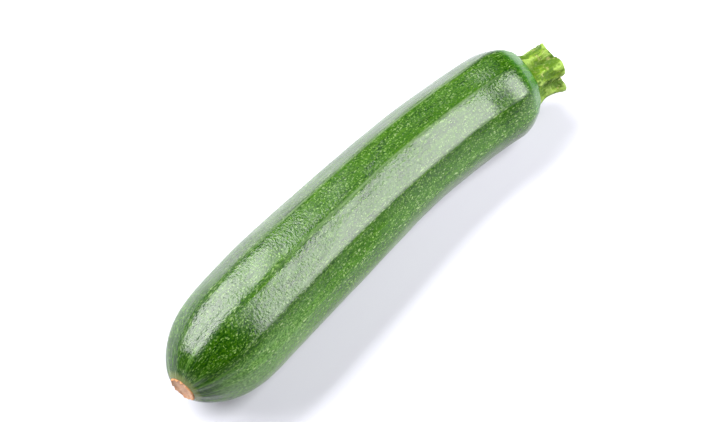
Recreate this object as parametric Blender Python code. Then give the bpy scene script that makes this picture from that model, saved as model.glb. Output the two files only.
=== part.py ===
"""Zucchini as picked: one bowed, softly ten-sided fruit with its cut stem, lying on a flat surface.

Metres, +Z up, the stem towards +X, the hollow side of the bow towards -Y. The origin is in the plane
that the fruit lies on, under the middle of its box. The nodes are fruit and stem.
"""
import math

import bmesh
import bpy
from mathutils import Matrix, Vector

# Fruit: its length from the blossom scar to the stem's seat, and its thickness
FRUIT_LENGTH = 0.190
BELLY_RADIUS = 0.0216
WAIST_RADIUS = 0.0192
TAPER_START = 0.045
TAPER_END = 0.165

# Blossom end: the rounded nose and the scar on its tip
NOSE_LENGTH = 0.0393
NOSE_FULLNESS = 3.1
NOSE_ROUNDNESS = 1.3
SCAR_RADIUS = 0.0055
SCAR_LIP = 0.0005
SCAR_DEPTH = 0.0004
SCAR_PROFILE = ((SCAR_DEPTH, 0.35), (SCAR_DEPTH, 0.75), (0.0, 0.88), (-SCAR_LIP, 0.97))

# Stem end: the shoulder and the land round the stem's seat
SHOULDER_LENGTH = 0.0128
SHOULDER_FULLNESS = 1.85
SHOULDER_ROUNDNESS = 1.25
LAND_RADIUS = 0.0133
SEAT_DEPTH = 0.0012

# Bow of the fruit in the plane that it lies on: even, leaning to the stem end, and flat in the middle
BOW = 0.0067
BOW_LEAN = 0.0030
BOW_FLAT = 0.0018

# Ten soft flat facets with a ridge between each two, and the flat spot that the fruit rests on
RIBS = 10
RIB_PHASE = math.radians(9.0)
RIB_STRENGTH = 0.60
RIB_FADE = 0.012
REST_DEPTH = 0.0007

# On the hollow side the facets close up towards the blossom end: by how much, about which angle, and where
CROWDING = math.radians(10.0)
CROWD_ANGLE = math.radians(74.0)
CROWD_REACH = math.radians(52.0)
CROWD_START = 0.080
CROWD_END = 0.140

# A low collar on the upper side, between the long middle and the shoulder
COLLAR_HEIGHT = 0.0012
COLLAR_ANGLE = math.radians(32.0)
COLLAR_NARROWING = 3.0
COLLAR_START = 0.1632
COLLAR_RISE = 0.0135
COLLAR_END = 0.1835
COLLAR_FALL = 0.0060

# Stem: five lobes, flared at its root and again at its cut end
LOBES = 5
STEM_LENGTH = 0.0145
STEM_WAIST = 0.45
STEM_FLARE = 1.6
MIDDLE_SHARE = 0.4
LOBE_RADII = (0.0124, 0.0105, 0.0118)
GROOVE_RADII = (0.0097, 0.0074, 0.0080)
LOBE_PHASE = math.radians(45.0)
LOBE_BREADTH = 0.7
CUT_BEVEL = 0.0005
CUT_HOLLOW = 0.0004
GAP = 0.0003

# Fineness of the two solids
FRUIT_SIDES = 40
NOSE_RINGS = 16
BODY_RINGS = 34
SHOULDER_RINGS = 11
STEM_SIDES = 60
STEM_RINGS = 10

SKIN = ((0.035, 0.115, 0.010, 1.0), 0.38)
SCAR = ((0.66, 0.40, 0.22, 1.0), 0.70)
STALK = ((0.26, 0.45, 0.05, 1.0), 0.50)
CUT = ((0.78, 0.72, 0.45, 1.0), 0.65)


def clear_scene():
    for thing in list(bpy.data.objects):
        bpy.data.objects.remove(thing, do_unlink=True)


def material(name, finish):
    colour, roughness = finish
    made = bpy.data.materials.new(name)
    made.use_nodes = True
    shader = made.node_tree.nodes["Principled BSDF"]
    shader.inputs["Base Color"].default_value = colour
    shader.inputs["Roughness"].default_value = roughness
    shader.inputs["Metallic"].default_value = 0.0
    made.diffuse_color = colour
    return made


def ease(k):
    k = min(max(k, 0.0), 1.0)
    return k * k * (3.0 - 2.0 * k)


def mix(a, b, k):
    return a + (b - a) * k


def taper(t):
    """Radius of the long middle at the distance t from the scar."""
    return mix(BELLY_RADIUS, WAIST_RADIUS, ease((t - TAPER_START) / (TAPER_END - TAPER_START)))


def rounding(k, fullness, roundness):
    """A rounded end: 0 at its tip and 1 where the long middle begins."""
    k = min(max(k, 0.0), 1.0)
    return (1.0 - (1.0 - k) ** fullness) ** (1.0 / roundness)


def fruit_radius(t):
    nose = rounding(t / NOSE_LENGTH, NOSE_FULLNESS, NOSE_ROUNDNESS)
    shoulder = rounding((FRUIT_LENGTH - t) / SHOULDER_LENGTH, SHOULDER_FULLNESS, SHOULDER_ROUNDNESS)
    scar_share = SCAR_RADIUS / BELLY_RADIUS
    land_share = LAND_RADIUS / WAIST_RADIUS
    return taper(t) * mix(scar_share, 1.0, nose) * mix(land_share, 1.0, shoulder)


def collar(angle, t):
    """Height of the collar over the plain skin: whole at its own angle, and none across from it."""
    share = ease((t - COLLAR_START) / COLLAR_RISE) * (1.0 - ease((t - COLLAR_END) / COLLAR_FALL))
    facing = 0.5 + 0.5 * math.cos(angle - COLLAR_ANGLE)
    return COLLAR_HEIGHT * share * facing ** COLLAR_NARROWING


def crowded(angle, t):
    """The angle that the facets follow."""
    near = 1.0 - ease((t - CROWD_START) / (CROWD_END - CROWD_START))
    off = abs((angle - CROWD_ANGLE + math.pi) % math.tau - math.pi)
    return angle + CROWDING * near * (1.0 - ease(off / CROWD_REACH))


def rib(angle, t):
    """Share of the radius at an angle: 1 on a ridge, less on the flat facet between two ridges."""
    pitch = math.tau / RIBS
    off_middle = (crowded(angle, t) - RIB_PHASE) % pitch - pitch / 2
    facet = math.cos(pitch / 2) / math.cos(off_middle)
    strength = RIB_STRENGTH * ease(t / RIB_FADE)
    return 1.0 - strength * (1.0 - facet)


def spine_point(t):
    """Middle of the fruit, which bows to +Y and keeps its underside level."""
    s = 2.0 * t / FRUIT_LENGTH - 1.0
    bow = BOW * (1.0 - s * s) + BOW_LEAN * (s - s ** 3) + BOW_FLAT * (s * s - s ** 4)
    return Vector((t - FRUIT_LENGTH / 2, bow, taper(t)))


def spine_frame(t):
    """Forward and level sideways directions of the spine."""
    step = 0.0005
    ahead = spine_point(t + step) - spine_point(t - step)
    ahead.z = 0.0
    ahead.normalize()
    return ahead, Vector((ahead.y, -ahead.x, 0.0))


def lobe_share(angle):
    """1 on the crest of a stem lobe and 0 in the groove between two."""
    wave = 0.5 + 0.5 * math.cos(LOBES * (angle - LOBE_PHASE))
    return wave ** LOBE_BREADTH


def stem_radius(angle, k):
    """Radius of the stem at the share k of its length, from the root to the cut."""
    lobe = flare(LOBE_RADII, k)
    groove = flare(GROOVE_RADII, k)
    return mix(groove, lobe, lobe_share(angle))


def flare(radii, k):
    root, waist, cut = radii
    if k < STEM_WAIST:
        return mix(root, waist, math.sin(math.pi / 2 * k / STEM_WAIST))
    return mix(waist, cut, ((k - STEM_WAIST) / (1.0 - STEM_WAIST)) ** STEM_FLARE)


def ring_places():
    """Distances from the scar, close together on the rounded ends."""
    nose = [NOSE_LENGTH * (1.0 - math.cos(math.pi / 2 * i / NOSE_RINGS)) for i in range(NOSE_RINGS)]
    body_end = FRUIT_LENGTH - SHOULDER_LENGTH
    body = [mix(NOSE_LENGTH, body_end, i / BODY_RINGS) for i in range(BODY_RINGS)]
    shoulder = [
        mix(body_end, FRUIT_LENGTH, math.sin(math.pi / 2 * i / SHOULDER_RINGS))
        for i in range(SHOULDER_RINGS + 1)
    ]
    return nose + body + shoulder


def fruit_ring(bm, t, radius_at):
    middle = spine_point(min(max(t, 0.0), FRUIT_LENGTH))
    ahead, side = spine_frame(min(max(t, 0.0), FRUIT_LENGTH))
    middle += ahead * (t - min(max(t, 0.0), FRUIT_LENGTH))
    verts = []
    for i in range(FRUIT_SIDES):
        angle = math.tau * i / FRUIT_SIDES
        out = side * math.sin(angle) + Vector((0.0, 0.0, math.cos(angle)))
        verts.append(bm.verts.new(middle + out * radius_at(angle)))
    return verts


def skin_between(bm, rings, slot):
    for ring, following in zip(rings, rings[1:]):
        for i in range(len(ring)):
            j = (i + 1) % len(ring)
            face = bm.faces.new((ring[i], ring[j], following[j], following[i]))
            face.material_index = slot


def close_end(bm, ring, centre, slot):
    tip = bm.verts.new(centre)
    for i in range(len(ring)):
        face = bm.faces.new((ring[i], tip, ring[(i + 1) % len(ring)]))
        face.material_index = slot


def settle(bm):
    """Lower the fruit on to its resting plane and flatten the spot that it lies on."""
    lowest = min(vert.co.z for vert in bm.verts)
    for vert in bm.verts:
        vert.co.z = max(vert.co.z - lowest - REST_DEPTH, 0.0)
    return lowest + REST_DEPTH


def finish_mesh(bm, name, materials, crease):
    bmesh.ops.triangulate(bm, faces=list(bm.faces))
    bmesh.ops.recalc_face_normals(bm, faces=list(bm.faces))
    mesh = bpy.data.meshes.new(name)
    bm.to_mesh(mesh)
    bm.free()
    for item in materials:
        mesh.materials.append(item)
    mesh.shade_smooth()
    mesh.set_sharp_from_angle(angle=crease)
    made = bpy.data.objects.new(name, mesh)
    bpy.context.collection.objects.link(made)
    return made


def make_fruit():
    """The body with its scar, and the lobed seat that takes the stem's root."""
    bm = bmesh.new()
    scar_rings = [
        fruit_ring(bm, t, lambda angle, share=share: SCAR_RADIUS * share) for t, share in SCAR_PROFILE
    ]
    skin_rings = [
        fruit_ring(bm, t, lambda angle, t=t: fruit_radius(t) * rib(angle, t) + collar(angle, t))
        for t in ring_places()
    ]
    seat_rings = [
        fruit_ring(bm, FRUIT_LENGTH, lambda angle: stem_radius(angle, 0.0) + GAP),
        fruit_ring(bm, FRUIT_LENGTH - SEAT_DEPTH, lambda angle: stem_radius(angle, 0.0) + GAP),
        fruit_ring(bm, FRUIT_LENGTH - SEAT_DEPTH, lambda angle: LOBE_RADII[0] * MIDDLE_SHARE),
    ]
    skin_between(bm, scar_rings, 1)
    skin_between(bm, [scar_rings[-1]] + skin_rings + seat_rings, 0)
    close_end(bm, scar_rings[0], spine_point(0.0) + spine_frame(0.0)[0] * SCAR_DEPTH * 0.5, 1)
    close_end(bm, seat_rings[-1], spine_point(FRUIT_LENGTH) - spine_frame(FRUIT_LENGTH)[0] * SEAT_DEPTH, 0)
    sunk = settle(bm)
    skins = [material("skin", SKIN), material("blossom_scar", SCAR)]
    return finish_mesh(bm, "fruit", skins, math.radians(50.0)), sunk


def make_stem():
    """The stub along its own +Z, with its root at the origin and its cut face on top."""
    bm = bmesh.new()

    def ring(k, height, inset):
        verts = []
        for i in range(STEM_SIDES):
            angle = math.tau * i / STEM_SIDES
            radius = stem_radius(angle, k) - inset
            verts.append(bm.verts.new((radius * math.cos(angle), radius * math.sin(angle), height)))
        return verts

    root = SEAT_DEPTH - GAP
    sides = [ring(0.0, -root, 0.0)]
    for i in range(STEM_RINGS + 1):
        k = i / STEM_RINGS
        sides.append(ring(k, k * (STEM_LENGTH - CUT_BEVEL), 0.0))
    rim = ring(1.0, STEM_LENGTH, CUT_BEVEL)
    middle = ring(1.0, STEM_LENGTH - CUT_HOLLOW, LOBE_RADII[2] * MIDDLE_SHARE)
    skin_between(bm, sides + [rim], 0)
    skin_between(bm, [rim, middle], 1)
    close_end(bm, sides[0], Vector((0.0, 0.0, -root)), 0)
    close_end(bm, middle, Vector((0.0, 0.0, STEM_LENGTH - CUT_HOLLOW)), 1)
    skins = [material("stalk", STALK), material("stalk_cut", CUT)]
    return finish_mesh(bm, "stem", skins, math.radians(50.0))


def place_stem(stem, sunk):
    """Stand the stem in its seat: its +Z ahead along the spine, its +X up."""
    ahead, side = spine_frame(FRUIT_LENGTH)
    turn = Matrix((Vector((0.0, 0.0, 1.0)), side, ahead)).transposed()
    stem.rotation_euler = turn.to_euler()
    stem.location = spine_point(FRUIT_LENGTH) - Vector((0.0, 0.0, sunk))


def centre_on_origin(pieces):
    """Carry the pieces on an empty that puts the middle of their box over the origin."""
    carrier = bpy.data.objects.new("zucchini", None)
    bpy.context.collection.objects.link(carrier)
    for piece in pieces:
        piece.parent = carrier
    bpy.context.view_layer.update()
    corners = [piece.matrix_world @ vert.co for piece in pieces for vert in piece.data.vertices]
    for axis in (0, 1):
        values = [corner[axis] for corner in corners]
        carrier.location[axis] = -(min(values) + max(values)) / 2


def main():
    clear_scene()
    fruit, sunk = make_fruit()
    stem = make_stem()
    place_stem(stem, sunk)
    centre_on_origin([fruit, stem])


main()
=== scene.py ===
"""Looks of the zucchini: its flecked waxy skin, its blossom scar and its cut stem, in a plain pale studio.

Metres, +Z up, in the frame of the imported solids: the stem towards +X, the hollow side of the bow to -Y.
"""
import math
from collections import namedtuple
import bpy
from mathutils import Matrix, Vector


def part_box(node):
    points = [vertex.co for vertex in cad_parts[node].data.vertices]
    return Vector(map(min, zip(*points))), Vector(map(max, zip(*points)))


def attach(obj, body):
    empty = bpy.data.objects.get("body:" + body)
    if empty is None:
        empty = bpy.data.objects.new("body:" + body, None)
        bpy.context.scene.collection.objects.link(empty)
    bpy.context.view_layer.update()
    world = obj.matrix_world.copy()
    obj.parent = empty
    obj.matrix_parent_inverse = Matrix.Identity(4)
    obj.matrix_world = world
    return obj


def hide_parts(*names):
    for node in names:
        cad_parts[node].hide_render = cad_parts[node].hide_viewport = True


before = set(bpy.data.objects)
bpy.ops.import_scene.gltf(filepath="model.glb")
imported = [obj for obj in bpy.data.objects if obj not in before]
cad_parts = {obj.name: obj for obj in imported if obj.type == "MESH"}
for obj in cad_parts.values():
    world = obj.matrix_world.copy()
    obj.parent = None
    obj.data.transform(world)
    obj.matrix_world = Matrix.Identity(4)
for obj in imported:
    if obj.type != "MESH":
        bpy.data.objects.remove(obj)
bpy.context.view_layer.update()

from types import SimpleNamespace

import bpy
import numpy as np
from mathutils import Matrix, Vector

# The fruit's own sizes, as its solid has them
FRUIT_LENGTH = 0.190
BELLY_RADIUS = 0.0216
WAIST_RADIUS = 0.0192
TAPER_START = 0.045
TAPER_END = 0.165
NOSE_LENGTH = 0.0393
NOSE_FULLNESS = 3.1
NOSE_ROUNDNESS = 1.3
SCAR_RADIUS = 0.0055
SHOULDER_LENGTH = 0.0128
SHOULDER_FULLNESS = 1.85
SHOULDER_ROUNDNESS = 1.25
LAND_RADIUS = 0.0133
BOW = 0.0067
BOW_LEAN = 0.0030
BOW_FLAT = 0.0018
RIBS = 10
RIB_PHASE = math.radians(9.0)
RIB_STRENGTH = 0.60
RIB_FADE = 0.012
REST_DEPTH = 0.0007
CROWDING = math.radians(10.0)
CROWD_ANGLE = math.radians(74.0)
CROWD_REACH = math.radians(52.0)
CROWD_START = 0.080
CROWD_END = 0.140
COLLAR_HEIGHT = 0.0012
COLLAR_ANGLE = math.radians(32.0)
COLLAR_NARROWING = 3.0
COLLAR_START = 0.1632
COLLAR_RISE = 0.0135
COLLAR_END = 0.1835
COLLAR_FALL = 0.0060

# The stem's own sizes, as its solid has them
LOBES = 5
STEM_LENGTH = 0.0145
STEM_WAIST = 0.45
STEM_FLARE = 1.6
LOBE_RADII = (0.0124, 0.0105, 0.0118)
GROOVE_RADII = (0.0097, 0.0074, 0.0080)
LOBE_PHASE = math.radians(45.0)
LOBE_BREADTH = 0.7

# The skin's finish: its rounded ridges, even ends, furrows at the scar, and the stem's lobes in its shoulder
RIDGE_ROUNDING = math.radians(3.0)
RIDGE_LIFT = 0.35
EVEN_ENDS = 0.004
FURROW_REACH = 0.006
FURROW_RISE = 0.0015
PRESSED_LOBES = 0.00035
PRESSED_LENGTH = 0.020
PRESSED_RISE = 0.018
SPINE_STEP = 0.0005

# The skin's turn under the stem: steps past the end of the spine, and gaps round the stem's root
SEAT_STEPS = (0.0002, 0.0001, -0.0004, -0.0014)
SEAT_GAPS = (0.0007, 0.0003, 0.0, -0.0008)

# The scar: places are shares of its radius, and heights and depths are metres
SCAR_LOBES = 6
SCAR_LOBE_SHARE = 0.025
SCAR_LOBE_PHASE = 0.6
SCAR_LOBE_START = 0.3
SCAR_LOBE_RISE = 0.4
SCAR_OVERLAP = 1.01
SCAR_RING_CROWDING = 1.3
NOTCH_START = 0.55
NOTCH_RISE = 0.3
LIP_PLACE = 0.90
LIP_WIDTH = 0.075
LIP_HEIGHT = 0.00050
DISH_EDGE = 0.85
DISH_SLOPE = 0.35
DISH_DEPTH = 0.00035
BUTTON_WIDTH = 0.16
BUTTON_HEIGHT = 0.00025
SCAR_RIM = 0.08
SCAR_TUCK = 0.0004

# The stem's finish: its root under the land, its softened rim, and the pattern and range of its relief
STEM_ROOT = -0.09
TIP_START = 0.93
TIP_DRAW = 0.0004
TIP_CALM = 0.3
STEM_WRAP = 0.010
CREST_RANGE = 0.0009

# The cut face: places are shares of its radius, and heights and depths are metres
CUT_DISH_EDGE = 0.75
CUT_DISH_DEPTH = 0.0006
CUT_CROWN = 0.00025
CUT_CROWN_SLOPE = 0.12
CUT_CALM_RIM = 0.1
BUNDLES = 10
BUNDLE_PLACE = 0.62
BUNDLE_WIDTH = 0.07
BUNDLE_HEIGHT = 0.00012

# Random relief: its points' stretch, its mean wave length, its number of waves, its seed and its height
WAVE_SPREAD = (0.75, 1.35)
Relief = namedtuple("Relief", "stretch length count seed height")
SKIN_SWELL = Relief((0.6, 1.0, 1.0), 0.040, 14, 3, 0.00018)
SKIN_DENTS = Relief((0.7, 1.0, 1.0), 0.011, 30, 4, 0.000030)
SKIN_LINES = Relief((0.05, 1.0, 1.0), 0.0032, 40, 5, 0.000014)
SCAR_FURROWS = Relief((0.1, 1.0, 1.0), 0.006, 20, 6, 0.00025)
SCAR_LUMPS = Relief((1.0, 1.0, 1.0), 0.0022, 24, 11, 0.00007)
SCAR_CRUMBS = Relief((1.0, 1.0, 1.0), 0.0009, 30, 12, 0.00003)
SCAR_NOTCHES = Relief((1.0, 1.0, 0.2), 0.35, 24, 13, 0.00014)
STEM_RIDGES = Relief((0.12, 1.0, 1.0), 0.0042, 26, 21, 0.00024)
STEM_FIBRES = Relief((0.12, 1.0, 1.0), 0.0015, 40, 22, 0.00010)
STEM_LUMPS = Relief((1.0, 1.0, 1.0), 0.0048, 30, 23, 0.00020)
STEM_WARTS = Relief((1.0, 1.0, 1.0), 0.0014, 40, 27, 0.00005)
CUT_UNEVENNESS = Relief((1.0, 1.0, 0.0), 0.9, 12, 24, 0.00045)
CUT_FIBRES = Relief((0.01, 0.01, 0.001), 0.0016, 40, 25, 0.00010)
CUT_SAW_MARKS = Relief((1.0, 0.12, 1.0), 0.12, 24, 26, 0.00006)

# Fineness of the meshes
SKIN_SIDES = 200
NOSE_RINGS = 90
BODY_RINGS = 230
SHOULDER_RINGS = 60
STEM_SIDES = 260
STEM_RINGS = 90
CUT_RINGS = 34
SCAR_SIDES = 160
SCAR_RINGS = 34

# Sizes in the materials: radii of their patterns and the flecks' warp in millimetres, and bumps in metres
SKIN_WRAP = 20.0
STALK_WRAP = 10.0
FLECK_WARP = 1.4
SKIN_BUMP = 0.00006
SCAR_BUMP = 0.00022
STALK_BUMP = 0.00030
CUT_BUMP = 0.00030

# The angle midway between the two top ridges, which have pale lines of painted reflection
CROWN_MIDDLE = math.radians(-9.0)

# Colours of the skin
DEEP_GREEN = (0.0026, 0.0225, 0.0001)
LEAF_GREEN = (0.0128, 0.0540, 0.0002)
MOSS_GREEN = (0.0310, 0.0870, 0.0008)
# Paler greens for the sides are painted light: they stand in for more light on the sides than on the top
PAINTED_LIGHT_LEAF = (0.0280, 0.1080, 0.0004)
PAINTED_LIGHT_MOSS = (0.0440, 0.1370, 0.0014)
CHEEK_GREEN = (0.1300, 0.2500, 0.0700)
SPECK_GREEN = (0.1280, 0.2250, 0.0500)
# Paler specks for the sides, also painted light
PAINTED_LIGHT_SPECK = (0.1750, 0.2950, 0.0700)
FLECK_GREEN = (0.2750, 0.3750, 0.1550)
# Painted reflection: pale lines on the two top ridges
PAINTED_RIDGE_REFLECTION = (0.0900, 0.1400, 0.0600)
# Painted reflections of the floor on the far and low rims: grey, and green near the nose
PAINTED_REFLECTION_GREY = (0.1700, 0.1500, 0.1650)
PAINTED_REFLECTION_GREEN = (0.1400, 0.2100, 0.0800)
NOSE_RAY = (0.085, 0.185, 0.030)
SCAR_EDGE = (0.150, 0.170, 0.030)
# Painted shade for the shoulder face beside the stem
NECK_PAINTED_SHADE = (0.016, 0.110, 0.0004)
NECK_RAY = (0.080, 0.190, 0.012)

# Colours of the scar
SCAR_CREAM = (0.580, 0.370, 0.238)
SCAR_PINK = (0.528, 0.273, 0.167)
SCAR_LIGHT = (0.690, 0.530, 0.390)
SCAR_BORDER = (0.480, 0.200, 0.050)
SCAR_PIT = (0.130, 0.075, 0.030)

# Colours of the stalk and of its cut face
STALK_LIME = (0.098, 0.182, 0.002)
STALK_OLIVE = (0.041, 0.093, 0.001)
STALK_FIBRE = (0.155, 0.250, 0.018)
STALK_CREST = (0.190, 0.285, 0.045)
STALK_SCUFF = (0.260, 0.250, 0.090)
# The root's colour: partly its own browner tone, partly painted shade where it meets the fruit
ROOT_TONE_AND_SHADE = (0.075, 0.085, 0.004)
CUT_STRAW = (0.310, 0.280, 0.150)
CUT_CREAM = (0.420, 0.395, 0.270)
CUT_PORE = (0.250, 0.235, 0.100)
CUT_RING = (0.230, 0.200, 0.070)
CUT_RIM = (0.160, 0.240, 0.035)

# Camera: its height over the horizon, how far the fruit's axis turns from the picture, and its distance
CAMERA_HEIGHT = math.radians(58.1)
CAMERA_TURN = math.radians(47.2)
CAMERA_DISTANCE = 0.6569
AIM_HEIGHT = 0.0192
LENS = 85.0
SENSOR = 36.0
FRAME_WIDTH = 727.0
FRAME_HEIGHT = 422.0
AIM_PIXEL = (362.0, 227.4)

# Softboxes: the width is along X, and make_softbox says what the steps are
Softbox = namedtuple("Softbox", "name place width height radiance steps")
SOFTBOXES = (
    Softbox("softbox_back", (-0.275, 0.62, 0.77), 1.39, 0.56, 18.4,
            ((0.0, 0.02, 0.0), (1.0, 0.985, 0.0), (0.957, 0.93, 0.42), (0.885, 0.775, 0.74))),
    Softbox("softbox_side", (0.70, 0.62, 0.77), 0.20, 0.56, 1.4,
            ((0.0, 0.15, 0.0), (1.0, 0.85, 0.0))),
    Softbox("softbox_front", (0.675, -0.61, 0.73), 1.05, 1.04, 16.0,
            ((0.0, 0.075, 0.0), (1.0, 0.90, 0.0), (0.025, 0.24, 0.33), (0.55, 0.28, 0.85))),
)
EDGE_FADE = 0.08

# The light from all round, and the floor
ROOM_TINT = (0.93, 0.93, 1.0, 1.0)
ROOM_AT_HORIZON = 0.32
ROOM_OVERHEAD = 0.03
ROOM_FALL = 0.55
FLOOR_SIZE = 6.0
FLOOR_TONES = ((0.470, 0.470, 0.515), (0.480, 0.480, 0.525))


def ease(k):
    k = np.clip(k, 0.0, 1.0)
    return k * k * (3.0 - 2.0 * k)


def mix(a, b, k):
    return a + (b - a) * k


def bell(k, middle, width):
    return np.exp(-((k - middle) / width) ** 2)


def waves(points, length, count, seed):
    """A smooth random field of about unit size: plane waves of one mean length in random directions."""
    draw = np.random.default_rng(seed)
    ways = draw.normal(size=(count, 3))
    ways /= np.linalg.norm(ways, axis=1)[:, None]
    sizes = math.tau / (length * draw.uniform(*WAVE_SPREAD, count))
    starts = draw.uniform(0.0, math.tau, count)
    total = np.zeros(points.shape[:-1])
    for way, size, start in zip(ways, sizes, starts):
        total += np.cos(points @ way * size + start)
    return total * math.sqrt(2.0 / count)


def relief(points, kind):
    """Heights of one kind of random relief at the points."""
    return waves(points * np.array(kind.stretch), kind.length, kind.count, kind.seed) * kind.height


def even_angles(sides):
    return math.tau * np.arange(sides) / sides


# The fruit's surface

def taper(t):
    return mix(BELLY_RADIUS, WAIST_RADIUS, ease((t - TAPER_START) / (TAPER_END - TAPER_START)))


def rounding(k, fullness, roundness):
    k = np.clip(k, 0.0, 1.0)
    return (1.0 - (1.0 - k) ** fullness) ** (1.0 / roundness)


def fruit_radius(t):
    nose = rounding(t / NOSE_LENGTH, NOSE_FULLNESS, NOSE_ROUNDNESS)
    shoulder = rounding((FRUIT_LENGTH - t) / SHOULDER_LENGTH, SHOULDER_FULLNESS, SHOULDER_ROUNDNESS)
    scar_share = SCAR_RADIUS / BELLY_RADIUS
    land_share = LAND_RADIUS / WAIST_RADIUS
    return taper(t) * mix(scar_share, 1.0, nose) * mix(land_share, 1.0, shoulder)


def collar(angle, t):
    """Height of the collar over the plain skin: whole at its own angle, and none across from it."""
    share = ease((t - COLLAR_START) / COLLAR_RISE) * (1.0 - ease((t - COLLAR_END) / COLLAR_FALL))
    facing = 0.5 + 0.5 * np.cos(angle - COLLAR_ANGLE)
    return COLLAR_HEIGHT * share * facing ** COLLAR_NARROWING


def crowded(angle, t):
    """The angle that the facets follow: on the hollow side they close up towards the blossom end."""
    near = 1.0 - ease((t - CROWD_START) / (CROWD_END - CROWD_START))
    off = np.abs((angle - CROWD_ANGLE + math.pi) % math.tau - math.pi)
    return angle + CROWDING * near * (1.0 - ease(off / CROWD_REACH))


def rib(angle, t):
    """Share of the radius: most on a ridge, less on the facet between two. The ridge is rounded over."""
    pitch = math.tau / RIBS
    edge = pitch / 2
    off_middle = np.abs((crowded(angle, t) - RIB_PHASE) % pitch - edge)
    rounded = edge - np.sqrt((edge - off_middle) ** 2 + RIDGE_ROUNDING ** 2) + RIDGE_ROUNDING * RIDGE_LIFT
    facet = math.cos(edge) / np.cos(np.minimum(off_middle, rounded))
    strength = RIB_STRENGTH * ease(t / RIB_FADE)
    return 1.0 - strength * (1.0 - facet)


def spine_point(t):
    s = 2.0 * t / FRUIT_LENGTH - 1.0
    bow = BOW * (1.0 - s * s) + BOW_LEAN * (s - s ** 3) + BOW_FLAT * (s * s - s ** 4)
    return np.stack([t - FRUIT_LENGTH / 2, bow, taper(t)], axis=-1)


def spine_frame(t):
    """Level directions along the spine and to its side."""
    ahead = spine_point(t + SPINE_STEP) - spine_point(t - SPINE_STEP)
    ahead[..., 2] = 0.0
    ahead /= np.linalg.norm(ahead, axis=-1)[..., None]
    side = np.stack([ahead[..., 1], -ahead[..., 0], np.zeros_like(t)], axis=-1)
    return ahead, side


def straightened(t, angle):
    """Places on the fruit as if it were a straight cylinder: along it, and round it."""
    return np.stack([t, BELLY_RADIUS * np.cos(angle), BELLY_RADIUS * np.sin(angle)], axis=-1)


def skin_relief(t, angle):
    """What the skin's own unevenness adds to the radius."""
    flat = straightened(t, angle)
    rough = relief(flat, SKIN_SWELL) + relief(flat, SKIN_DENTS) + relief(flat, SKIN_LINES)
    ends = ease(t / EVEN_ENDS) * ease((FRUIT_LENGTH - t) / EVEN_ENDS)
    furrows = relief(flat, SCAR_FURROWS) * np.exp(-t / FURROW_REACH) * ease(t / FURROW_RISE)
    near_stem = ease((t - FRUIT_LENGTH + PRESSED_LENGTH) / PRESSED_RISE)
    lobes = np.cos(LOBES * (angle - LOBE_PHASE)) * PRESSED_LOBES * near_stem
    return collar(angle, t) + rough * ends + furrows + lobes


def skin_places():
    """Places of the skin's rings along the spine, closer together towards both ends."""
    nose = NOSE_LENGTH * (1.0 - np.cos(math.pi / 2 * np.arange(NOSE_RINGS) / NOSE_RINGS))
    body_end = FRUIT_LENGTH - SHOULDER_LENGTH
    body = mix(NOSE_LENGTH, body_end, np.arange(BODY_RINGS) / BODY_RINGS)
    steps = np.arange(SHOULDER_RINGS + 1) / SHOULDER_RINGS
    return np.concatenate([nose, body, mix(body_end, FRUIT_LENGTH, np.sin(math.pi / 2 * steps))])


def rings_on_spine(t, angle, radius):
    """Points of rings at the places t, whose radius is given for every place and angle."""
    kept = np.clip(t, 0.0, FRUIT_LENGTH)
    ahead, side = spine_frame(kept)
    middle = spine_point(kept) + ahead * (t - kept)[:, None]
    out = side[:, None, :] * np.sin(angle)[None, :, None]
    out = out + np.array([0.0, 0.0, 1.0]) * np.cos(angle)[None, :, None]
    return middle[:, None, :] + out * radius[:, :, None]


def grid_mesh(name, points, material, tip=None):
    """Rings of points as a smooth mesh, closed round. A tip closes its last ring with a fan."""
    rings, sides, _ = points.shape
    verts = points.reshape(-1, 3).tolist()
    faces = []
    for r in range(rings - 1):
        for i in range(sides):
            j = (i + 1) % sides
            faces.append((r * sides + i, r * sides + j, (r + 1) * sides + j, (r + 1) * sides + i))
    if tip is not None:
        last = (rings - 1) * sides
        faces += [(len(verts), last + i, last + (i + 1) % sides) for i in range(sides)]
        verts.append(tuple(tip))
    mesh = bpy.data.meshes.new(name)
    mesh.from_pydata(verts, [], faces)
    mesh.update()
    mesh.shade_smooth()
    mesh.materials.append(material)
    made = bpy.data.objects.new(name, mesh)
    bpy.context.collection.objects.link(made)
    return made


def set_places(piece, name, *parts):
    """Stores three numbers for every point of the grid, which the materials read. A tip has noughts."""
    data = piece.data.attributes.new(name, "FLOAT_VECTOR", "POINT")
    values = np.stack(parts, axis=-1).reshape(-1, 3)
    flat = np.zeros((len(piece.data.vertices), 3))
    flat[:len(values)] = values
    data.data.foreach_set("vector", flat.astype(np.float32).ravel())


# Materials

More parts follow.
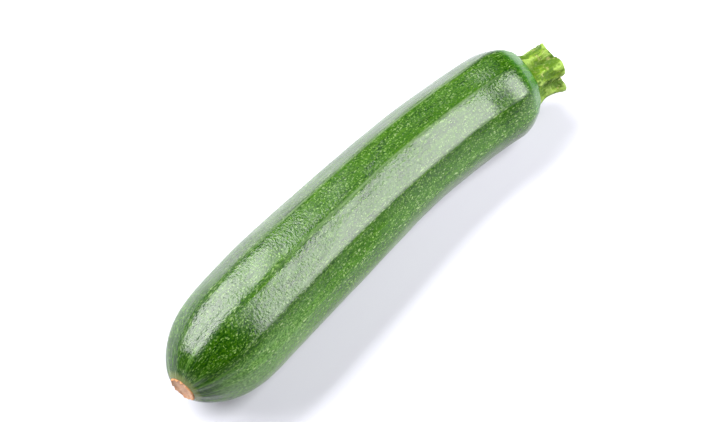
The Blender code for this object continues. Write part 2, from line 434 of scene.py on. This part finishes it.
class Graph:
    """A material's nodes, added and wired by socket name."""

    def __init__(self, name):
        self.material = bpy.data.materials.new(name)
        self.material.use_nodes = True
        self.tree = self.material.node_tree
        self.tree.nodes.clear()

    def feed(self, socket, value):
        if isinstance(value, bpy.types.NodeSocket):
            self.tree.links.new(value, socket)
        elif isinstance(value, tuple) and len(value) == 3 and socket.type == "RGBA":
            socket.default_value = (*value, 1.0)
        else:
            socket.default_value = value

    def node(self, kind, settings=None, **inputs):
        made = self.tree.nodes.new(kind)
        for key, value in (settings or {}).items():
            setattr(made, key, value)
        for key, value in inputs.items():
            self.feed(made.inputs[key.replace("_", " ")], value)
        return made

    def math(self, operation, first, second=0.0):
        made = self.node("ShaderNodeMath", {"operation": operation})
        self.feed(made.inputs[0], first)
        self.feed(made.inputs[1], second)
        return made.outputs[0]

    def times(self, first, *others):
        """Product of two values or more."""
        for other in others:
            first = self.math("MULTIPLY", first, other)
        return first

    def plus(self, first, *others):
        """Sum of two values or more."""
        for other in others:
            first = self.math("ADD", first, other)
        return first

    def blend(self, share, first, second):
        """Mixes two colours."""
        made = self.node("ShaderNodeMix", {"data_type": "RGBA"})
        self.feed(made.inputs["Factor"], share)
        self.feed(made.inputs[6], first)
        self.feed(made.inputs[7], second)
        return made.outputs[2]

    def layers(self, colour, *tints):
        """Lays tints over a colour, one after another. Each is a share and its colour."""
        for share, tint in tints:
            colour = self.blend(share, colour, tint)
        return colour

    def ramp(self, value, low, high, to_low=0.0, to_high=1.0):
        """Smooth step of a value from low to high."""
        made = self.node("ShaderNodeMapRange", {"interpolation_type": "SMOOTHSTEP"},
                         Value=value, From_Min=low, From_Max=high, To_Min=to_low, To_Max=to_high)
        return made.outputs["Result"]

    def place(self, name):
        return self.node("ShaderNodeAttribute", {"attribute_name": name}).outputs["Vector"]

    def scaled(self, vector, scale):
        made = self.node("ShaderNodeVectorMath", {"operation": "MULTIPLY"})
        self.feed(made.inputs[0], vector)
        self.feed(made.inputs[1], scale)
        return made.outputs[0]

    def warped(self, vector, scale, reach):
        """Moves places about by a slow random field, so that no pattern on them stands in lines."""
        warp = self.node("ShaderNodeTexNoise", Vector=vector, Scale=scale, Detail=1.0)
        made = self.node("ShaderNodeVectorMath", {"operation": "MULTIPLY_ADD"})
        self.feed(made.inputs[0], warp.outputs["Color"])
        self.feed(made.inputs[1], (reach, reach, reach))
        self.feed(made.inputs[2], vector)
        return made.outputs[0]

    def noise(self, vector, scale, detail=2.0, rough=0.5):
        made = self.node("ShaderNodeTexNoise", Vector=vector, Scale=scale, Detail=detail, Roughness=rough)
        return made.outputs["Fac"]

    def cells(self, vector, scale):
        """Distance to the nearest of random points in the plane."""
        made = self.node("ShaderNodeTexVoronoi", {"voronoi_dimensions": "2D"}, Vector=vector, Scale=scale)
        return made.outputs["Distance"]

    def fleck(self, vector, picks, sizes, soft):
        """Round spots in random cells: a cell's random pick in the range picks gives its spot's size."""
        made = self.node("ShaderNodeTexVoronoi", Vector=vector, Scale=1.0, Randomness=0.9)
        pick, _, lift = self.parts(made.outputs["Color"])
        size = self.ramp(pick, *picks, *sizes)
        spot = self.ramp(self.math("SUBTRACT", size, made.outputs["Distance"]), 0.0, soft)
        return self.times(spot, self.ramp(lift, 0.0, 1.0, 0.4, 1.0))

    def parts(self, vector):
        made = self.node("ShaderNodeSeparateXYZ", Vector=vector)
        return made.outputs["X"], made.outputs["Y"], made.outputs["Z"]

    def joined(self, x, y, z=0.0):
        return self.node("ShaderNodeCombineXYZ", X=x, Y=y, Z=z).outputs["Vector"]

    def round_way(self, along, cosine, sine, wrap):
        """Places in space from a place along a round piece and its angle, at the radius wrap."""
        return self.joined(along, self.times(cosine, wrap), self.times(sine, wrap))

    def bump(self, height, depth):
        return self.node("ShaderNodeBump", Height=height, Distance=depth, Strength=1.0).outputs["Normal"]

    def finish(self, colour, roughness, ior, normal=None):
        shader = self.node("ShaderNodeBsdfPrincipled", Base_Color=colour, Roughness=roughness, IOR=ior)
        if normal is not None:
            self.feed(shader.inputs["Normal"], normal)
        out = self.node("ShaderNodeOutputMaterial")
        self.tree.links.new(shader.outputs["BSDF"], out.inputs["Surface"])
        return self.material


def skin_fields(g):
    """What the skin's colours follow. Places along it are millimetres from the scar, and the angle is from
    the top. The near side is the hollow one."""
    f = SimpleNamespace()
    f.along, f.cosine, f.sine = g.parts(g.place("flow"))
    f.angle = g.math("ARCTAN2", f.sine, f.cosine)
    f.solid = g.round_way(f.along, f.cosine, f.sine, SKIN_WRAP)
    turn = g.math("FRACT", g.times(g.math("SUBTRACT", f.angle, RIB_PHASE), RIBS / math.tau))
    f.ridge = g.times(g.math("ABSOLUTE", g.math("SUBTRACT", turn, 0.5)), 2.0)
    f.patches = g.noise(g.scaled(f.solid, (0.5, 1.0, 1.0)), 0.085, 2.0)
    f.wander = g.noise(g.scaled(f.solid, (0.3, 1.0, 1.0)), 0.30, 3.0)
    f.streaks = g.noise(g.scaled(f.solid, (0.05, 1.0, 1.0)), 0.9, 3.0, 0.6)
    f.grain = g.noise(g.scaled(f.solid, (0.6, 1.0, 1.0)), 1.6, 3.0, 0.7)
    f.middle = g.times(g.ramp(f.along, 18.0, 48.0), g.ramp(f.along, 186.0, 160.0))
    f.side = g.times(g.ramp(f.cosine, 0.80, 0.30), g.ramp(f.along, 4.0, 22.0))
    return f


def skin_ground(g, f):
    """The greens under the flecks: lighter down the sides as painted light, and lightest on the near cheek
    of the nose.
    """
    leafy = g.times(g.ramp(f.wander, 0.30, 0.62), g.plus(g.times(f.middle, 0.5), 0.5))
    # The paler greens down the sides are painted light
    moss = g.blend(f.side, MOSS_GREEN, PAINTED_LIGHT_MOSS)
    cheek = g.times(g.ramp(f.sine, 0.78, 0.95), g.ramp(f.along, 72.0, 30.0), g.ramp(f.along, 2.0, 9.0))
    return g.layers(
        g.blend(leafy, DEEP_GREEN, LEAF_GREEN),
        (g.times(f.side, 0.40), PAINTED_LIGHT_LEAF),
        (g.times(g.ramp(f.streaks, 0.44, 0.70), 0.7, f.middle), moss),
        (g.times(g.ramp(f.grain, 0.44, 0.66), 0.7), moss),
        (g.times(g.ramp(f.grain, 0.50, 0.38), 0.55), DEEP_GREEN),
        (g.times(cheek, g.ramp(f.grain, 0.40, 0.62, 0.15, 0.55)), CHEEK_GREEN),
    )


def skin_marks(g, f):
    """Fine specks all over, larger flecks here and there, and dashes that lie along the fruit."""
    places = g.warped(f.solid, 0.5, FLECK_WARP)
    specks = g.fleck(g.scaled(places, (0.95, 1.80, 1.80)), (0.0, 1.0), (0.18, 0.54), 0.22)
    flecks = g.fleck(g.scaled(places, (0.60, 1.30, 1.30)), (0.55, 1.0), (0.10, 0.46), 0.14)
    dashes = g.fleck(g.scaled(places, (0.34, 1.30, 1.30)), (0.45, 1.0), (0.10, 0.46), 0.12)
    return specks, flecks, dashes


def skin_flecked(g, f, marks, ground):
    """Marks over the ground, stronger down the sides. The dashes keep to broken rows beside the ridges."""
    specks, flecks, dashes = marks
    crowd = g.ramp(f.patches, 0.36, 0.62, 0.55, 1.0)
    rows = g.times(g.ramp(g.plus(f.ridge, g.times(f.wander, 0.6)), 0.86, 1.12), g.ramp(f.wander, 0.36, 0.56))
    # The paler specks down the sides are painted light
    pale = g.blend(f.side, SPECK_GREEN, PAINTED_LIGHT_SPECK)
    return g.layers(
        ground,
        (g.times(specks, crowd, g.ramp(f.side, 0.0, 1.0, 0.80, 1.0)), pale),
        (g.times(flecks, g.ramp(f.side, 0.0, 1.0, 0.26, 0.65)), FLECK_GREEN),
        (g.times(dashes, rows, g.ramp(f.side, 0.0, 1.0, 0.45, 0.90)), FLECK_GREEN),
    )


def skin_shaded(g, f, colour):
    """Painted shade as dark lines on the ridges, painted reflections as pale lines on the two top ridges,
    and painted reflections of the floor, grey and green, on the far and low sides.
    """
    # Painted shade: the ridges are darkened towards deep green
    ridge_shade = g.times(g.ramp(f.ridge, 0.94, 1.0), g.ramp(f.streaks, 0.35, 0.6, 0.1, 0.4))
    # Painted reflection: the pale lines on the two top ridges, fading near both ends
    top = g.ramp(g.math("ABSOLUTE", g.math("SUBTRACT", f.angle, CROWN_MIDDLE)), 0.42, 0.36)
    crown_reach = g.times(top, g.ramp(f.along, 40.0, 75.0), g.ramp(f.along, 178.0, 160.0))
    crown = g.times(g.ramp(f.ridge, 0.82, 0.98), crown_reach)
    # Painted reflections of the floor on the far and low rims
    far_rim_reflection = g.times(g.ramp(f.sine, -0.42, -0.56), f.middle)
    low_rim_reflection = g.times(g.ramp(f.cosine, 0.05, -0.30), g.ramp(f.sine, 0.2, 0.6))
    painted_reflection = g.blend(g.ramp(f.along, 100.0, 140.0), PAINTED_REFLECTION_GREEN, PAINTED_REFLECTION_GREY)
    return g.layers(
        colour,
        (ridge_shade, DEEP_GREEN),
        (g.times(crown, g.ramp(f.streaks, 0.35, 0.62, 0.35, 0.70)), PAINTED_RIDGE_REFLECTION),
        (g.times(far_rim_reflection, 0.15), PAINTED_REFLECTION_GREY),
        (g.times(low_rim_reflection, g.ramp(f.along, 6.0, 30.0, 0.0, 0.30)), painted_reflection),
    )


def skin_ends(g, f, colour):
    """Pale rays and a yellowish edge round the scar, and painted shade in deep saturated green on the
    shoulder beside the stem, with rays there.
    """
    fan = g.noise(g.round_way(g.times(f.along, 0.06), f.cosine, f.sine, 8.0), 1.0, 3.0, 0.6)
    rays = g.ramp(fan, 0.50, 0.66)
    return g.layers(
        colour,
        (g.times(rays, g.ramp(f.along, 2.0, 20.0, 0.55, 0.0)), NOSE_RAY),
        (g.ramp(f.along, 0.2, 1.6, 0.60, 0.0), SCAR_EDGE),
        # Painted shade on the shoulder face beside the stem
        (g.ramp(f.along, 181.0, 187.0, 0.0, 0.65), NECK_PAINTED_SHADE),
        (g.times(rays, g.ramp(f.along, 180.0, 190.0, 0.0, 0.5)), NECK_RAY),
    )


def skin_material():
    """Dark green wax: fine pale flecks, dashes in rows beside the ridges, and a soft orange peel."""
    g = Graph("zucchini_skin")
    f = skin_fields(g)
    marks = skin_marks(g, f)
    specks, flecks, _ = marks
    colour = skin_flecked(g, f, marks, skin_ground(g, f))
    colour = skin_ends(g, f, skin_shaded(g, f, colour))
    peel = g.times(g.noise(f.solid, 0.95, 2.0, 0.6), g.ramp(f.patches, 0.42, 0.56, 3.2, 1.0))
    raised = g.plus(g.times(specks, 0.12), g.times(flecks, 0.20))
    height = g.plus(peel, g.times(f.grain, 0.5), raised, g.times(f.streaks, 0.15))
    dull_ridge = g.ramp(f.ridge, 0.84, 1.0, 0.0, 0.13)
    roughness = g.plus(g.times(flecks, 0.06), 0.13, g.times(f.grain, 0.12), dull_ridge)
    return g.finish(colour, roughness, ior=1.40, normal=g.bump(height, SKIN_BUMP))


def scar_material():
    """Dry corky tissue, cream and pink, browner and pitted towards its ragged edge."""
    g = Graph("zucchini_scar")
    out, cosine, sine = g.parts(g.place("spot"))
    flat = g.joined(g.times(out, cosine), g.times(out, sine))
    grain = g.noise(flat, 2.4, 4.0, 0.65)
    blotch = g.noise(flat, 0.55, 2.0)
    rays = g.noise(g.round_way(g.times(out, 0.25), cosine, sine, 6.0), 1.0, 3.0)
    border = g.ramp(g.plus(out, g.times(rays, 1.6)), 4.9, 6.3)
    pits = g.ramp(g.cells(flat, 1.6), 0.05, 0.22, 1.0, 0.0)
    colour = g.layers(
        g.blend(g.ramp(blotch, 0.35, 0.65), SCAR_CREAM, SCAR_PINK),
        (g.times(g.ramp(grain, 0.45, 0.7), 0.5), SCAR_LIGHT),
        (g.times(border, 0.75), SCAR_BORDER),
        (g.times(pits, g.ramp(out, 0.5, 5.0, 0.15, 0.5)), SCAR_PIT),
    )
    height = g.plus(g.times(grain, 0.8), g.times(pits, -0.9), g.times(rays, 0.6))
    roughness = g.plus(g.times(grain, 0.2), 0.60)
    return g.finish(colour, roughness, ior=1.35, normal=g.bump(height, SCAR_BUMP))


def stalk_material():
    """Fibrous lime stalk: pale along its crests, olive in its grooves, scuffed here and there, and darker
    and browner at its root, partly its own colour and partly painted shade where it meets the fruit.
    """
    g = Graph("zucchini_stalk")
    along, cosine, sine = g.parts(g.place("flow"))
    solid = g.round_way(along, cosine, sine, STALK_WRAP)
    crest, lobe, _ = g.parts(g.place("relief"))
    fibres = g.noise(g.scaled(solid, (0.10, 1.0, 1.0)), 1.5, 3.0, 0.6)
    blotch = g.noise(g.scaled(solid, (0.5, 1.0, 1.0)), 0.42, 3.0)
    grain = g.noise(solid, 3.2, 3.0, 0.6)
    scuffs = g.ramp(g.noise(g.scaled(solid, (0.6, 1.0, 1.0)), 0.75, 4.0, 0.6), 0.58, 0.66)
    colour = g.layers(
        g.blend(g.ramp(blotch, 0.40, 0.62), STALK_OLIVE, STALK_LIME),
        (g.times(g.ramp(fibres, 0.50, 0.62), 0.6), STALK_FIBRE),
        (g.times(g.ramp(fibres, 0.47, 0.36), 0.7), STALK_OLIVE),
        (g.times(g.ramp(crest, 0.55, 0.90), 0.9), STALK_CREST),
        (g.times(g.ramp(grain, 0.48, 0.36), 0.6), STALK_OLIVE),
        (g.times(g.ramp(crest, 0.40, 0.10), 0.8), STALK_OLIVE),
        (g.times(g.ramp(lobe, 0.30, 0.0), 0.7), STALK_OLIVE),
        (g.times(scuffs, 0.6), STALK_SCUFF),
        # Darker at the root: partly its own colour, partly painted shade where the stalk meets the fruit
        (g.ramp(along, 0.0, 1.6, 0.85, 0.0), ROOT_TONE_AND_SHADE),
    )
    height = g.plus(g.times(grain, 0.7), fibres)
    roughness = g.plus(g.times(grain, 0.15), 0.38)
    return g.finish(colour, roughness, ior=1.28, normal=g.bump(height, STALK_BUMP))


def cut_material():
    """The cut face: cream fibre with ring and rays, greener at its rim."""
    g = Graph("zucchini_cut")
    share, cosine, sine = g.parts(g.place("spot"))
    across = g.times(share, STALK_WRAP)
    flat = g.joined(g.times(across, cosine), g.times(across, sine))
    rays = g.noise(g.round_way(g.times(share, 0.8), cosine, sine, 7.0), 1.0, 4.0, 0.65)
    grain = g.noise(flat, 2.6, 4.0, 0.65)
    pores = g.ramp(g.cells(flat, 1.25), 0.12, 0.45, 1.0, 0.0)
    ring = g.times(g.ramp(share, 0.52, 0.62), g.ramp(share, 0.80, 0.68))
    colour = g.layers(
        g.blend(g.ramp(rays, 0.35, 0.68), CUT_STRAW, CUT_CREAM),
        (g.times(pores, 0.30), CUT_PORE),
        (g.times(ring, g.ramp(rays, 0.5, 0.6, 0.15, 0.6)), CUT_RING),
        (g.ramp(share, 0.86, 1.0, 0.0, 0.8), CUT_RIM),
    )
    height = g.plus(g.times(grain, 0.7), rays)
    roughness = g.plus(g.times(grain, 0.2), 0.55)
    return g.finish(colour, roughness, ior=1.35, normal=g.bump(height, CUT_BUMP))


def floor_material():
    g = Graph("pale_floor")
    tone = g.ramp(g.noise(g.node("ShaderNodeTexCoord").outputs["Object"], 3.0, 2.0), 0.3, 0.7)
    return g.finish(g.blend(tone, *FLOOR_TONES), roughness=0.9, ior=1.3)


# Pieces

def settle(points):
    """Lowers the fruit's points on to its resting plane. Returns them and how far they went down."""
    sunk = points[..., 2].min() + REST_DEPTH
    lowered = points.copy()
    lowered[..., 2] = np.maximum(lowered[..., 2] - sunk, 0.0)
    return lowered, sunk


def make_skin():
    """The whole skin, down to its turn under the stem. Returns it and the offset that places the others."""
    angle = even_angles(SKIN_SIDES)
    t = skin_places()
    grid_t, grid_angle = np.meshgrid(t, angle, indexing="ij")
    radius = fruit_radius(t)[:, None] * rib(grid_angle, grid_t) + skin_relief(grid_t, grid_angle)
    seat_t = np.array(SEAT_STEPS) + FRUIT_LENGTH
    seat_radius = np.stack([stem_radius(angle, 0.0) + gap for gap in SEAT_GAPS])
    points = np.concatenate([rings_on_spine(t, angle, radius), rings_on_spine(seat_t, angle, seat_radius)])

    points, sunk = settle(points)
    box_middle = (points.reshape(-1, 3).max(0) + points.reshape(-1, 3).min(0)) / 2
    low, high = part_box("fruit")
    shift = np.array([(low.x + high.x) / 2 - box_middle[0], (low.y + high.y) / 2 - box_middle[1], 0.0])
    piece = grid_mesh("zucchini_skin", points + shift, skin_material())
    all_t = np.concatenate([t, seat_t])[:, None]
    all_t, turned = np.broadcast_arrays(all_t, crowded(angle, all_t))
    set_places(piece, "flow", all_t * 1000.0, np.cos(turned), np.sin(turned))
    return piece, shift - np.array([0.0, 0.0, sunk])


def make_scar(offset):
    """The dry scar where the blossom was: a low-edged, pitted disc set into the tip of the nose."""
    angle = even_angles(SCAR_SIDES)
    inward = 1.0 - (np.arange(SCAR_RINGS) / SCAR_RINGS) ** SCAR_RING_CROWDING
    share, grid_angle = np.meshgrid(inward, angle, indexing="ij")
    cosine, sine = np.cos(grid_angle), np.sin(grid_angle)
    flat = np.stack([share * cosine, share * sine, np.zeros_like(share)], axis=-1) * SCAR_RADIUS
    lobed = 1.0 + SCAR_LOBE_SHARE * np.cos(SCAR_LOBES * grid_angle + SCAR_LOBE_PHASE)
    lobed = mix(1.0, lobed, ease((share - SCAR_LOBE_START) / SCAR_LOBE_RISE))
    radius = SCAR_RADIUS * share * lobed * SCAR_OVERLAP

    lip = bell(share, LIP_PLACE, LIP_WIDTH) * LIP_HEIGHT
    dish = -DISH_DEPTH * ease((DISH_EDGE - share) / DISH_SLOPE)
    lumps = relief(flat, SCAR_LUMPS) + relief(flat, SCAR_CRUMBS)
    notches = relief(np.stack([cosine, sine, share], axis=-1), SCAR_NOTCHES)
    notches = notches * ease((share - NOTCH_START) / NOTCH_RISE)
    button = bell(share, 0.0, BUTTON_WIDTH) * BUTTON_HEIGHT
    rim = ease((1.0 - share) / SCAR_RIM)
    raised = (lip + dish + lumps + notches + button) * rim - SCAR_TUCK * (1.0 - rim)

    ahead = spine_frame(np.zeros(1))[0][0]
    points = rings_on_spine(np.zeros(SCAR_RINGS), angle, radius) - ahead * raised[..., None] + offset
    centre = spine_point(np.zeros(1))[0] - ahead * raised[-1].mean() + offset
    piece = grid_mesh("zucchini_scar", points, scar_material(), tip=centre)
    set_places(piece, "spot", radius * 1000.0, cosine, sine)
    return piece


def flare(radii, k):
    root, waist, cut = radii
    rise = np.clip((k - STEM_WAIST) / (1.0 - STEM_WAIST), 0.0, 1.0) ** STEM_FLARE
    fall = np.sin(math.pi / 2 * np.clip(k / STEM_WAIST, 0.0, 1.0))
    return np.where(k < STEM_WAIST, mix(root, waist, fall), mix(waist, cut, rise))


def lobe_wave(angle):
    """1 on the middle of a lobe, and 0 in a groove."""
    return 0.5 + 0.5 * np.cos(LOBES * (angle - LOBE_PHASE))


def stem_radius(angle, k):
    wave = np.maximum(lobe_wave(angle), 0.0)
    return mix(flare(GROOVE_RADII, k), flare(LOBE_RADII, k), wave ** LOBE_BREADTH)


def stem_relief(angle, k):
    """Ridges and fibres along the stem, with lumps and warts. Returns metres."""
    solid = np.stack([k * STEM_LENGTH, STEM_WRAP * np.cos(angle), STEM_WRAP * np.sin(angle)], axis=-1)
    return sum(relief(solid, kind) for kind in (STEM_RIDGES, STEM_FIBRES, STEM_LUMPS, STEM_WARTS))


def stem_points(angle, radius, height, offset):
    """Points of the stem, which stands on the end of the spine."""
    end = np.array([FRUIT_LENGTH])
    ahead, side = (way[0] for way in spine_frame(end))
    out = side * np.sin(angle)[..., None] + np.array([0.0, 0.0, 1.0]) * np.cos(angle)[..., None]
    return spine_point(end)[0] + offset + out * radius[..., None] + ahead * height[..., None]


def make_stem_side(offset):
    """The stalk's lobed side. Returns it with its rim's radius and height at every angle."""
    k = np.concatenate([[STEM_ROOT], np.arange(STEM_RINGS + 1) / STEM_RINGS])
    grid_k, angle = np.meshgrid(k, even_angles(STEM_SIDES), indexing="ij")
    share = np.clip(grid_k, 0.0, 1.0)
    rough = stem_relief(angle, share)
    tip = ease((share - TIP_START) / (1.0 - TIP_START))
    radius = stem_radius(angle, share) + rough * (1.0 - TIP_CALM * tip) - TIP_DRAW * tip ** 2
    uneven = relief(np.stack([np.cos(angle), np.sin(angle), grid_k], axis=-1), CUT_UNEVENNESS)
    height = grid_k * STEM_LENGTH + uneven * share
    piece = grid_mesh("zucchini_stem", stem_points(angle, radius, height, offset), stalk_material())
    set_places(piece, "flow", height * 1000.0, np.cos(angle), np.sin(angle))
    set_places(piece, "relief", np.clip(0.5 + rough / CREST_RANGE, 0.0, 1.0), lobe_wave(angle), share)
    return piece, radius[-1], height[-1]


def make_stem_cut(rim_radius, rim_height, offset):
    """The stalk's cut face, from its rim inwards: slightly dished, with saw marks and a ring of bundles."""
    inward = 1.0 - np.arange(CUT_RINGS) / CUT_RINGS
    share, angle = np.meshgrid(inward, even_angles(STEM_SIDES), indexing="ij")
    cosine, sine = np.cos(angle), np.sin(angle)
    radius = share * mix(rim_radius.mean(), rim_radius[None, :], ease(share))
    fibres = relief(np.stack([cosine, sine, share], axis=-1), CUT_FIBRES) * share
    saw = relief(np.stack([share * cosine, share * sine, share * 0.0], axis=-1), CUT_SAW_MARKS)
    bundles = bell(share, BUNDLE_PLACE, BUNDLE_WIDTH) * np.cos(BUNDLES * (angle - LOBE_PHASE))
    dish = -CUT_DISH_DEPTH * ease((CUT_DISH_EDGE - share) / CUT_DISH_EDGE)
    crown = CUT_CROWN * ease((1.0 - share) / CUT_CROWN_SLOPE)
    level = rim_height.mean() + (rim_height - rim_height.mean())[None, :] * share
    rough = fibres + saw + bundles * BUNDLE_HEIGHT
    height = level + rough * ease((1.0 - share) / CUT_CALM_RIM) + dish + crown
    points = stem_points(angle, radius, height, offset)
    piece = grid_mesh("zucchini_stem_cut", points, cut_material(), tip=points[-1].mean(0))
    set_places(piece, "spot", share, cosine, sine)
    return piece


# Studio

def make_camera(offset):
    right = Vector((math.cos(CAMERA_TURN), -math.sin(CAMERA_TURN), 0.0))
    level = Vector((math.sin(CAMERA_TURN), math.cos(CAMERA_TURN), 0.0))
    up = level * math.sin(CAMERA_HEIGHT) + Vector((0.0, 0.0, math.cos(CAMERA_HEIGHT)))
    ahead = right.cross(up) * -1.0
    data = bpy.data.cameras.new("camera")
    data.lens = LENS
    data.sensor_width = SENSOR
    data.shift_x = (FRAME_WIDTH / 2 - AIM_PIXEL[0]) / FRAME_WIDTH
    data.shift_y = (AIM_PIXEL[1] - FRAME_HEIGHT / 2) / FRAME_WIDTH
    camera = bpy.data.objects.new("camera", data)
    aim = Vector((offset[0], offset[1], AIM_HEIGHT))
    turned = Matrix((right, up, -ahead)).transposed()
    camera.matrix_world = Matrix.Translation(aim - ahead * CAMERA_DISTANCE) @ turned.to_4x4()
    bpy.context.collection.objects.link(camera)
    bpy.context.scene.camera = camera


def make_softbox(box):
    """An area light, level along X and tilted at the fruit, that fades at its edges. Each of its steps gives
    two places along X, as shares of its width, and the brightness at the first. The second has it whole."""
    data = bpy.data.lights.new(box.name, "AREA")
    data.shape = "RECTANGLE"
    data.size = box.width
    data.size_y = box.height
    data.energy = box.radiance * math.pi * box.width * box.height
    data.use_nodes = True
    nodes = data.node_tree.nodes
    links = data.node_tree.links
    across = nodes.new("ShaderNodeSeparateXYZ")
    links.new(nodes.new("ShaderNodeNewGeometry").outputs["Parametric"], across.inputs[0])
    strength = nodes.new("ShaderNodeValue").outputs[0]
    strength.default_value = 1.0
    fades = [("Y", 0.0, EDGE_FADE, 0.0), ("Y", 1.0, 1.0 - EDGE_FADE, 0.0)]
    fades += [("X", *step) for step in box.steps]
    for axis, start, full, least in fades:
        fade = nodes.new("ShaderNodeMapRange")
        fade.interpolation_type = "SMOOTHSTEP"
        links.new(across.outputs[axis], fade.inputs["Value"])
        fade.inputs["From Min"].default_value = start
        fade.inputs["From Max"].default_value = full
        fade.inputs["To Min"].default_value = least
        product = nodes.new("ShaderNodeMath")
        product.operation = "MULTIPLY"
        links.new(strength, product.inputs[0])
        links.new(fade.outputs["Result"], product.inputs[1])
        strength = product.outputs[0]
    links.new(strength, nodes["Emission"].inputs["Strength"])
    lamp = bpy.data.objects.new(box.name, data)
    lamp.location = box.place
    lamp.rotation_euler = (-math.atan2(box.place[1], box.place[2]), 0.0, 0.0)
    bpy.context.collection.objects.link(lamp)


def make_floor():
    bpy.ops.mesh.primitive_grid_add(x_subdivisions=8, y_subdivisions=8, size=FLOOR_SIZE,
                                    location=(0.0, 0.0, 0.0))
    floor = bpy.context.active_object
    floor.name = "floor"
    floor.data.materials.append(floor_material())


def make_world():
    """A faint light from all round, which fades from the horizon upwards."""
    world = bpy.data.worlds.new("studio")
    bpy.context.scene.world = world
    world.use_nodes = True
    nodes = world.node_tree.nodes
    links = world.node_tree.links
    nodes.clear()
    parts = nodes.new("ShaderNodeSeparateXYZ")
    links.new(nodes.new("ShaderNodeTexCoord").outputs["Generated"], parts.inputs[0])
    fall = nodes.new("ShaderNodeMapRange")
    fall.interpolation_type = "SMOOTHSTEP"
    fall.inputs["From Min"].default_value = 0.0
    fall.inputs["From Max"].default_value = ROOM_FALL
    fall.inputs["To Min"].default_value = ROOM_AT_HORIZON
    fall.inputs["To Max"].default_value = ROOM_OVERHEAD
    links.new(parts.outputs["Z"], fall.inputs["Value"])
    back = nodes.new("ShaderNodeBackground")
    back.inputs["Color"].default_value = ROOM_TINT
    links.new(fall.outputs["Result"], back.inputs["Strength"])
    out = nodes.new("ShaderNodeOutputWorld")
    links.new(back.outputs[0], out.inputs["Surface"])


def main():
    skin, offset = make_skin()
    make_camera(offset)
    scar = make_scar(offset)
    side, rim_radius, rim_height = make_stem_side(offset)
    cut = make_stem_cut(rim_radius, rim_height, offset)
    for piece, node, slot in ((skin, "fruit", "skin"), (scar, "fruit", "skin"),
                              (side, "stem", "stalk"), (cut, "stem", "stalk")):
        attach(piece, "root")
        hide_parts(node)
    make_floor()
    make_world()
    for box in SOFTBOXES:
        make_softbox(box)
    bpy.context.scene.view_settings.view_transform = "Standard"


main()
